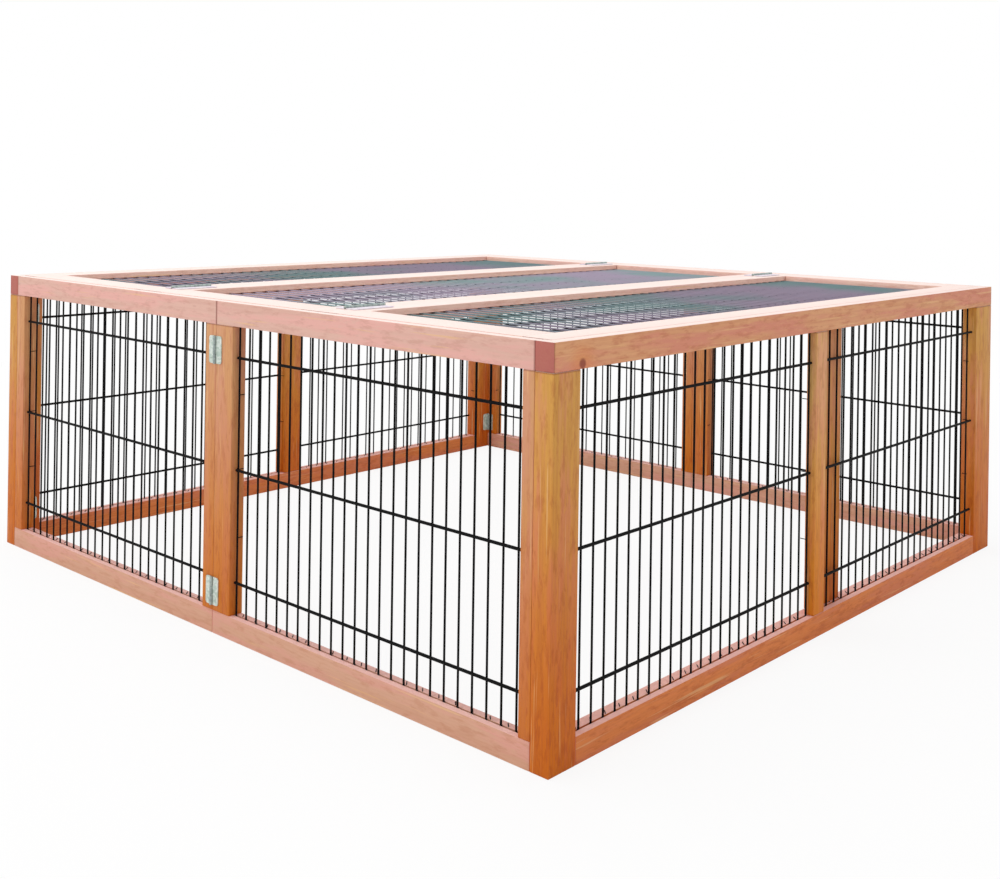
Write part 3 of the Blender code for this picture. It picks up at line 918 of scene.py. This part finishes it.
def staple(name, place, inward, out_of_wood):
    """One staple whose crown runs from place along inward, on wood that faces out_of_wood."""
    bpy.ops.mesh.primitive_cylinder_add(vertices=8, radius=STAPLE_WIRE, depth=STAPLE_LENGTH,
                                        location=(0, 0, 0), rotation=(0, pi / 2, 0))
    piece = bpy.context.object
    piece.name = name
    bpy.ops.object.transform_apply(location=True, rotation=True, scale=True)
    edit_mode(True)
    for value in (-STAPLE_BEND, STAPLE_BEND):
        bpy.ops.mesh.select_all(action="SELECT")
        bpy.ops.mesh.bisect(plane_co=(value, 0, 0), plane_no=(1, 0, 0))
    pick_faces(lambda face: len(face.verts) == 8)
    bpy.ops.transform.translate(value=(0, 0, -STAPLE_LEG))
    edit_mode(False)
    inward, out_of_wood = Vector(inward), Vector(out_of_wood)
    turn = Matrix((inward, out_of_wood.cross(inward), out_of_wood)).transposed().to_4x4()
    middle = Vector(place) + inward * STAPLE_LENGTH / 2 + out_of_wood * STAPLE_WIRE * 0.6
    piece.data.transform(Matrix.Translation(middle) @ turn)
    return piece


def wall_staples(body, bay, node, across, outward):
    """The staples of one wall: a row on its bottom rail, and three on each side."""
    low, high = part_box(node)
    along = Vector([float(index == across) for index in range(3)])
    inward = -Vector(outward)
    first = (low + high) / 2 + inward * BEHIND_GROOVE
    first.z = low.z + WIRE_IN_GROOVE
    first[across] = low[across] + FIRST_STAPLE
    slant = Vector((-1, 1, 0)).normalized()
    aslant = slant if slant.dot(inward) > 0 else -slant
    row = staple(f"{bay}_staples", first, aslant, (0, 0, 1))
    count = int((high[across] - low[across] - BARE_ENDS) / STAPLE_SPACING) + 1
    in_a_row(row, along * STAPLE_SPACING, count)
    pieces = [row]
    for edge, way in ((low[across] - EDGE_GAP, along), (high[across] + EDGE_GAP, -along)):
        for height in STAPLE_HEIGHTS:
            place = first.copy()
            place[across], place.z = edge, height
            pieces.append(staple("side_staple", place, inward, way))
    join_up(pieces)
    row.data.materials.append(black_wire)
    bpy.ops.object.shade_smooth_by_angle(angle=radians(50))
    hand_over(row, body)


for side_name, side in SIDES.items():
    for bay in ENDS:
        wall_staples(f"{side_name}_side", f"{side_name}_{bay}", f"{side_name}_{bay}_mesh", 1,
                     (side, 0, 0))
for end_name, end in ENDS.items():
    for side_name in SIDES:
        wall_staples(f"{end_name}_{side_name}", f"{end_name}_{side_name}",
                     f"{end_name}_{side_name}_mesh", 0, (0, end, 0))

# %% [markdown]
# ## Hinges
#
# A butt hinge is two stamped leaves whose edges are rolled round a pin. One leaf of each size
# is modelled with the pin upright at the origin, the plate towards +X and the wood towards +Y,
# and copies of it are laid on the wood. The countersunk screws are part of the leaf here.

# %% Knuckles and screws
KNUCKLE = 0.0022
PIN = 0.0012
PIN_END = 0.0004
SHEET_METAL = 0.0012
SEGMENT_GAP = 0.0003
SCREW_HEAD = 0.0023
SLOT_ARM, SLOT_HALF, HEAD_TOP = 0.0013, 0.0003, 0.00045


def bar(radius, low, high, sides, rim):
    """A cylinder on the pin's axis, with bevelled rims."""
    bpy.ops.mesh.primitive_cylinder_add(vertices=sides, radius=radius, depth=high - low,
                                        location=(0, 0, (low + high) / 2))
    piece = bpy.context.object
    bpy.ops.object.transform_apply(location=True, rotation=True, scale=True)
    edit_mode(True)
    pick_faces(lambda face: len(face.verts) == sides)
    bpy.ops.mesh.bevel(offset=rim, segments=2, affect="EDGES")
    edit_mode(False)
    piece.select_set(False)
    return piece


def screw_head(x, z):
    """A countersunk head with a cross slot, looking away from the wood."""
    bpy.ops.mesh.primitive_cylinder_add(vertices=20, radius=SCREW_HEAD, depth=2 * HEAD_TOP,
                                        location=(0, 0, 0))
    piece = bpy.context.object
    edit_mode(True)
    pick_faces(lambda face: face.normal.z > 0.9)
    bpy.ops.mesh.bevel(offset=0.00035, segments=2, affect="EDGES")
    cut_into((-SLOT_ARM, -SLOT_HALF, 0), (SLOT_ARM, SLOT_HALF, HEAD_TOP), (0, 0, 1))
    cut_into((-SLOT_HALF, -SLOT_ARM, 0), (SLOT_HALF, SLOT_ARM, HEAD_TOP), (0, 0, 1))
    edit_mode(False)
    face_out = Matrix.Rotation(radians(90), 4, "X")
    piece.data.transform(Matrix.Translation((x, KNUCKLE - SHEET_METAL, z)) @ face_out)
    piece.select_set(False)
    return piece


# %% Leaves
PLATE_CORNER = 0.0038


def plate_with_tabs(width, length, ranges):
    """The flat of a leaf, with two rounded corners and a tab to the pin at each range of Z."""
    bpy.ops.mesh.primitive_cube_add(size=1)
    plate = bpy.context.object
    start = KNUCKLE + SEGMENT_GAP
    plate.data.transform(Matrix.Translation(((start + width) / 2, KNUCKLE - SHEET_METAL / 2, 0))
                         @ Matrix.Diagonal((width - start, SHEET_METAL, length, 1)))
    edit_mode(True)
    bpy.ops.mesh.select_mode(type="EDGE")
    bpy.ops.mesh.select_all(action="DESELECT")
    mesh = open_mesh()
    for edge in mesh.edges:
        first, second = (vertex.co for vertex in edge.verts)
        corner = min(first.x, second.x) > width - TOUCH and abs(first.z - second.z) < TOUCH
        edge.select_set(corner)
    bmesh.update_edit_mesh(plate.data)
    bpy.ops.mesh.bevel(offset=PLATE_CORNER, segments=6, affect="EDGES")
    for low, high in ranges:
        for value in (low, high):
            if abs(value) < length / 2 - TOUCH:
                bpy.ops.mesh.select_all(action="SELECT")
                bpy.ops.mesh.bisect(plane_co=(0, 0, value), plane_no=(0, 0, 1))

    def tab(face):
        centre = face.calc_center_median()
        return face.normal.x < -0.9 and any(low < centre.z < high for low, high in ranges)

    pick_faces(tab)
    bpy.ops.mesh.extrude_region_move(TRANSFORM_OT_translate={"value": (-start, 0, 0)})
    edit_mode(False)
    plate.select_set(False)
    return plate


def leaf(name, width, length, outer_knuckles, screws, metal):
    """One leaf. The pin belongs to the leaf with the outer knuckles."""
    inner = length / 6 - SEGMENT_GAP / 2
    outer = length / 6 + SEGMENT_GAP / 2
    if outer_knuckles:
        ranges = [(-length / 2, -outer), (outer, length / 2)]
    else:
        ranges = [(-inner, inner)]
    plate = plate_with_tabs(width, length, ranges)
    rolls = [bar(KNUCKLE, low, high, 24, 0.0002) for low, high in ranges]
    if outer_knuckles:
        tip = length / 2 + PIN_END
        rolls.append(bar(PIN, -tip, tip, 16, 0.0003))
    heads = [screw_head(x, z) for x, z in screws]
    for part in rolls:
        part.data.materials.append(zinc_roll)
    for part in [plate] + heads:
        part.data.materials.append(metal)
    model = join_up([plate] + rolls + heads)
    model.name = name
    bpy.ops.object.shade_smooth_by_angle(angle=radians(35))
    model.select_set(False)
    return model


def lay_leaf(model, node, body, pin, outward, into_wood):
    """A copy of a leaf on its wood, in the place of a leaf of the plain model."""
    mesh = model.data.copy()
    turn = Matrix((outward, into_wood, Vector(outward).cross(into_wood))).transposed().to_4x4()
    mesh.transform(Matrix.Translation(pin) @ turn)
    piece = bpy.data.objects.new(f"{node}_plate", mesh)
    bpy.context.collection.objects.link(piece)
    hand_over(piece, body, node)


# %% Wall hinges
X, Y, Z = Vector((1, 0, 0)), Vector((0, 1, 0)), Vector((0, 0, 1))


def pin_of(node, at_x=None, at_y=None, at_z=None):
    """Where a leaf's pin is: the middle of its box, with the given coordinates put in."""
    low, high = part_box(node)
    pin = (low + high) / 2
    for index, value in enumerate((at_x, at_y, at_z)):
        if value is not None:
            pin[index] = value
    return pin


joint_at = {joint["child"]: Vector(joint["pos_m"]) for joint in frame["joints"]}
seam_y = abs(joint_at["front_right"].y)
corner_x, corner_y = abs(joint_at["front_left"].x), abs(joint_at["front_left"].y)

WALL_LEAF = (0.014, 0.038)
wall_screws = [(0.0088, -0.0115), (0.0088, 0.0115)]
pinned = leaf("wall_leaf_pinned", *WALL_LEAF, True, wall_screws, zinc_plate)
bored = leaf("wall_leaf_bored", *WALL_LEAF, False, wall_screws, zinc_plate)
for end_name, end in ENDS.items():
    for level in ("upper", "lower"):
        for side_name, side in SIDES.items():
            node = f"{end_name}_{side_name}_corner_{level}_hinge"
            pin = pin_of(f"{node}_post_leaf", side * corner_x, end * corner_y)
            lay_leaf(pinned, f"{node}_post_leaf", f"{side_name}_side", pin, -end * Y, side * X)
            lay_leaf(bored, f"{node}_panel_leaf", f"{end_name}_{side_name}", pin,
                     -side * X, end * Y)
        node = f"{end_name}_seam_{level}_hinge"
        pin = pin_of(f"{node}_left_leaf", 0, end * seam_y)
        lay_leaf(pinned, f"{node}_left_leaf", f"{end_name}_left", pin, -X, -end * Y)
        lay_leaf(bored, f"{node}_right_leaf", f"{end_name}_right", pin, X, -end * Y)
print("pieces so far:", count_pieces())

# %% Cover hinges
COVER_LEAF = (0.020, 0.070)
lid_x, lid_z = joint_at["lid_right"].x, joint_at["lid_right"].z
cover_screws = [(0.0125, -0.026), (0.0125, 0.0), (0.0125, 0.026)]
# the cover's leaves use the zinc painted paler as painted light
wide_pinned = leaf("cover_leaf_pinned", *COVER_LEAF, True, cover_screws, cover_plate)
wide_bored = leaf("cover_leaf_bored", *COVER_LEAF, False, cover_screws, cover_plate)
for end_name in ENDS:
    for side_name, side in SIDES.items():
        node = f"cover_{side_name}_{end_name}_hinge"
        pin = pin_of(f"{node}_middle_leaf", side * lid_x, None, lid_z)
        lay_leaf(wide_pinned, f"{node}_middle_leaf", "cover", pin, -side * X, -Z)
        lay_leaf(wide_bored, f"{node}_lid_leaf", f"lid_{side_name}", pin, side * X, -Z)
for model in (pinned, bored, wide_pinned, wide_bored):
    bpy.data.objects.remove(model, do_unlink=True)
print("pieces in all:", count_pieces())
